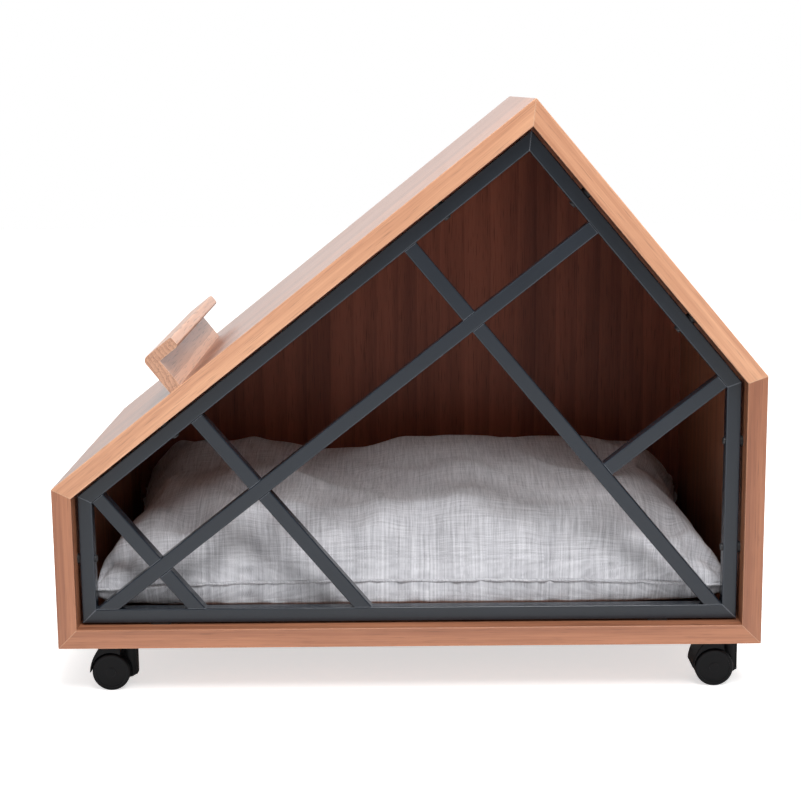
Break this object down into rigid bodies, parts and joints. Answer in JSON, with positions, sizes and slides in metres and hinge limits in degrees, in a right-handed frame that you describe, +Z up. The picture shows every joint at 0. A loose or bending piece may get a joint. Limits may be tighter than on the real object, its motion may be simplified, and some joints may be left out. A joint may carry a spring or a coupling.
{
  "type": "dog bed with frame",
  "caption": "House-shaped wooden pet bed on swivel casters, with a geometric steel grille across the front, a loose linen cushion and a wooden pull handle.",
  "frame": {"origin": "on the floor under the middle of the bed, between the casters", "axes": "+X to the right along the width, +Y from the open front to the back, +Z up"},
  "size_m": [0.73, 0.455, 0.6145],
  "materials": {
    "walnut_panel": "satin-lacquered walnut veneer",
    "walnut_edge": "satin-lacquered solid edge strip",
    "plywood": "raw, sealed inside the joints",
    "solid_wood": "satin-lacquered solid wood",
    "coated_steel": "satin powder coat, slate grey",
    "black_screws": "black",
    "zinc_screws": "zinc plated",
    "plated_steel": "zinc plated",
    "nylon_spacers": "matte",
    "black_nylon": "moulded, fine texture",
    "wheel_nylon": "smooth moulded",
    "linen_cover": "melange linen weave",
    "fibre_filling": "loose fibre"
  },
  "bodies": {
    "root": {"floor_panel": "walnut_panel", "left_wall": "walnut_panel", "right_wall": "walnut_panel", "left_roof": "walnut_panel", "right_roof": "walnut_panel", "back_panel": "walnut_panel", "rear_edge_strips": "walnut_edge", "front_edge_floor": "walnut_edge", "front_edge_left_wall": "walnut_edge", "front_edge_right_wall": "walnut_edge", "front_edge_left_roof": "walnut_edge", "front_edge_right_roof": "walnut_edge", "mitre_splines": "plywood", "grille_bottom_rail": "coated_steel", "grille_left_stile": "coated_steel", "grille_right_stile": "coated_steel", "grille_left_top_rail": "coated_steel", "grille_right_top_rail": "coated_steel", "grille_long_rising_bar": "coated_steel", "grille_short_rising_bar": "coated_steel", "grille_right_falling_bar_upper": "coated_steel", "grille_right_falling_bar_lower": "coated_steel", "grille_middle_falling_bar_upper": "coated_steel", "grille_middle_falling_bar_lower": "coated_steel", "grille_left_falling_bar_upper": "coated_steel", "grille_left_falling_bar_lower": "coated_steel", "grille_screws": "black_screws", "grille_spacers": "nylon_spacers", "handle": "solid_wood", "handle_screws": "zinc_screws", "caster_screws": "zinc_screws", "cushion_cover": "linen_cover", "cushion_filling": "fibre_filling", "front_left_caster_plate": "plated_steel", "front_left_caster_stem": "plated_steel", "front_right_caster_plate": "plated_steel", "front_right_caster_stem": "plated_steel", "rear_left_caster_plate": "plated_steel", "rear_left_caster_stem": "plated_steel", "rear_right_caster_plate": "plated_steel", "rear_right_caster_stem": "plated_steel"},
    "front_left_caster": {"front_left_caster_housing": "black_nylon", "front_left_caster_axle": "plated_steel"},
    "front_right_caster": {"front_right_caster_housing": "black_nylon", "front_right_caster_axle": "plated_steel"},
    "rear_left_caster": {"rear_left_caster_housing": "black_nylon", "rear_left_caster_axle": "plated_steel"},
    "rear_right_caster": {"rear_right_caster_housing": "black_nylon", "rear_right_caster_axle": "plated_steel"},
    "front_left_wheel_front": {"front_left_caster_wheel_front": "wheel_nylon"},
    "front_left_wheel_rear": {"front_left_caster_wheel_rear": "wheel_nylon"},
    "front_right_wheel_front": {"front_right_caster_wheel_front": "wheel_nylon"},
    "front_right_wheel_rear": {"front_right_caster_wheel_rear": "wheel_nylon"},
    "rear_left_wheel_front": {"rear_left_caster_wheel_front": "wheel_nylon"},
    "rear_left_wheel_rear": {"rear_left_caster_wheel_rear": "wheel_nylon"},
    "rear_right_wheel_front": {"rear_right_caster_wheel_front": "wheel_nylon"},
    "rear_right_wheel_rear": {"rear_right_caster_wheel_rear": "wheel_nylon"}
  },
  "joints": [
    {"name": "front_left_swivel", "type": "hinge", "parent": "root", "child": "front_left_caster", "pos_m": [-0.298, -0.1825, 0.035], "axis": [0, 0, 1], "continuous": true},
    {"name": "front_right_swivel", "type": "hinge", "parent": "root", "child": "front_right_caster", "pos_m": [0.34, -0.1825, 0.035], "axis": [0, 0, 1], "continuous": true},
    {"name": "rear_left_swivel", "type": "hinge", "parent": "root", "child": "rear_left_caster", "pos_m": [-0.298, 0.1825, 0.035], "axis": [0, 0, 1], "continuous": true},
    {"name": "rear_right_swivel", "type": "hinge", "parent": "root", "child": "rear_right_caster", "pos_m": [0.34, 0.1825, 0.035], "axis": [0, 0, 1], "continuous": true},
    {"name": "front_left_roll_front", "type": "hinge", "parent": "front_left_caster", "child": "front_left_wheel_front", "pos_m": [-0.316, -0.19475, 0.02], "axis": [0, 1, 0], "continuous": true},
    {"name": "front_left_roll_rear", "type": "hinge", "parent": "front_left_caster", "child": "front_left_wheel_rear", "pos_m": [-0.316, -0.17025, 0.02], "axis": [0, 1, 0], "continuous": true},
    {"name": "front_right_roll_front", "type": "hinge", "parent": "front_right_caster", "child": "front_right_wheel_front", "pos_m": [0.322, -0.19475, 0.02], "axis": [0, 1, 0], "continuous": true},
    {"name": "front_right_roll_rear", "type": "hinge", "parent": "front_right_caster", "child": "front_right_wheel_rear", "pos_m": [0.322, -0.17025, 0.02], "axis": [0, 1, 0], "continuous": true},
    {"name": "rear_left_roll_front", "type": "hinge", "parent": "rear_left_caster", "child": "rear_left_wheel_front", "pos_m": [-0.316, 0.17025, 0.02], "axis": [0, 1, 0], "continuous": true},
    {"name": "rear_left_roll_rear", "type": "hinge", "parent": "rear_left_caster", "child": "rear_left_wheel_rear", "pos_m": [-0.316, 0.19475, 0.02], "axis": [0, 1, 0], "continuous": true},
    {"name": "rear_right_roll_front", "type": "hinge", "parent": "rear_right_caster", "child": "rear_right_wheel_front", "pos_m": [0.322, 0.17025, 0.02], "axis": [0, 1, 0], "continuous": true},
    {"name": "rear_right_roll_rear", "type": "hinge", "parent": "rear_right_caster", "child": "rear_right_wheel_rear", "pos_m": [0.322, 0.19475, 0.02], "axis": [0, 1, 0], "continuous": true}
  ]
}
